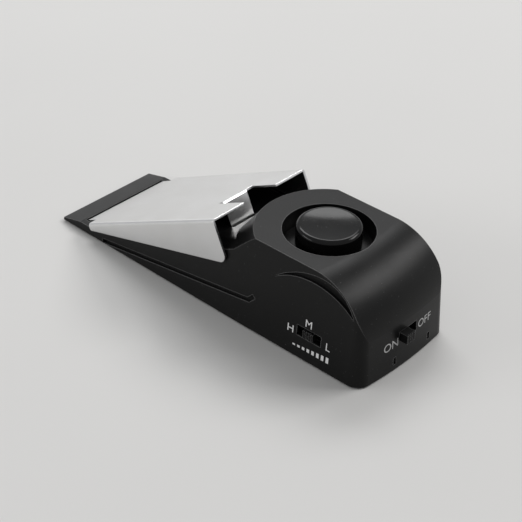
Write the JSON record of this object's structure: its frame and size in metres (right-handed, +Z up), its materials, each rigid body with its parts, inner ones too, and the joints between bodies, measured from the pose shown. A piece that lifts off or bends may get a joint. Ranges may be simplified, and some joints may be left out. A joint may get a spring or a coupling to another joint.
{
  "type": "door stop alarm",
  "caption": "Wedge-shaped door stop with a battery siren: black plastic housing, hinged steel strike plate, siren cap, slide switches and a hinged battery door.",
  "frame": {"origin": "on the floor, under the middle of the object", "axes": "+X from the thin tip to the switch end, +Z up, -Y the side with the three-step switch"},
  "size_m": [0.1414, 0.045, 0.0371],
  "materials": {
    "shell_plastic": "satin black moulded plastic",
    "cap_plastic": "semi-gloss black plastic",
    "plate_steel": "bright brushed sheet steel",
    "pin_steel": "plain steel rod",
    "spring_steel": "drawn spring wire",
    "ring_plastic": "black plastic",
    "piezo_brass": "thin brass disc",
    "piezo_ceramic": "silvered ceramic",
    "base_plastic": "finely grained black plastic",
    "screw_steel": "zinc-plated steel",
    "sole_rubber": "soft black rubber",
    "battery_jacket": "plain printed steel jacket",
    "terminal_metal": "nickel-plated",
    "snap_plastic": "soft black plastic",
    "board_laminate": "green solder mask",
    "chip_epoxy": "black epoxy",
    "coil_case": "dark ferrite and plastic",
    "capacitor_can": "sleeved aluminium can",
    "sensor_can": "plain brass can",
    "resistor_body": "ceramic chip",
    "switch_case": "moulded switch case",
    "plunger_plastic": "off-white plastic",
    "knob_plastic": "black plastic",
    "lead_red": "red insulated wire",
    "lead_black": "black insulated wire",
    "lead_grey": "grey insulated wire"
  },
  "bodies": {
    "housing": {"upper_shell": "shell_plastic", "siren_cap": "cap_plastic", "hinge_pin": "pin_steel", "plate_spring_near": "spring_steel", "plate_spring_far": "spring_steel", "siren_ring": "ring_plastic", "piezo_plate": "piezo_brass", "piezo_ceramic": "piezo_ceramic", "base_cover": "base_plastic", "housing_screws": "screw_steel", "board_screws": "screw_steel", "front_sole_pad": "sole_rubber", "rear_sole_pad": "sole_rubber", "battery_case": "battery_jacket", "battery_terminals": "terminal_metal", "battery_snap": "snap_plastic", "main_board": "board_laminate", "alarm_chip": "chip_epoxy", "siren_coil": "coil_case", "filter_capacitor": "capacitor_can", "vibration_sensor": "sensor_can", "drive_transistor": "chip_epoxy", "resistors": "resistor_body", "trigger_switch": "switch_case", "power_switch": "switch_case", "selector_switch": "switch_case", "battery_lead_red": "lead_red", "battery_lead_black": "lead_black", "switch_lead": "lead_red", "siren_leads": "lead_black", "selector_lead": "lead_grey"},
    "plate": {"strike_plate": "plate_steel"},
    "plunger": {"trigger_plunger": "plunger_plastic"},
    "power_slider": {"power_knob": "knob_plastic"},
    "selector_slider": {"selector_knob": "knob_plastic"},
    "battery_hatch": {"battery_door": "base_plastic", "door_screw": "screw_steel"}
  },
  "joints": [
    {"name": "plate_hinge", "type": "hinge", "parent": "housing", "child": "plate", "pos_m": [-0.05945, 0, 0.00235], "axis": [0, 1, 0], "range_deg": [0, 2.6], "stiffness_Nm_per_rad": 2, "springref_deg": -2.46, "deforming": ["plate_spring_near", "plate_spring_far"]},
    {"name": "trigger_press", "type": "slide", "parent": "housing", "child": "plunger", "axis": [0, 0, -1], "range_m": [0, 0.0028]},
    {"name": "power_slide", "type": "slide", "parent": "housing", "child": "power_slider", "axis": [0, 1, 0], "range_m": [0, 0.0042]},
    {"name": "selector_slide", "type": "slide", "parent": "housing", "child": "selector_slider", "axis": [1, 0, 0], "range_m": [-0.0026, 0.0026]},
    {"name": "battery_door_hinge", "type": "hinge", "parent": "housing", "child": "battery_hatch", "pos_m": [0.05821, 0, 0.0015], "axis": [0, -1, 0], "range_deg": [0, 80]}
  ],
  "couplings": [
    {"joint": "trigger_press", "follows": "plate_hinge", "m_per_rad": 0.0557}
  ]
}
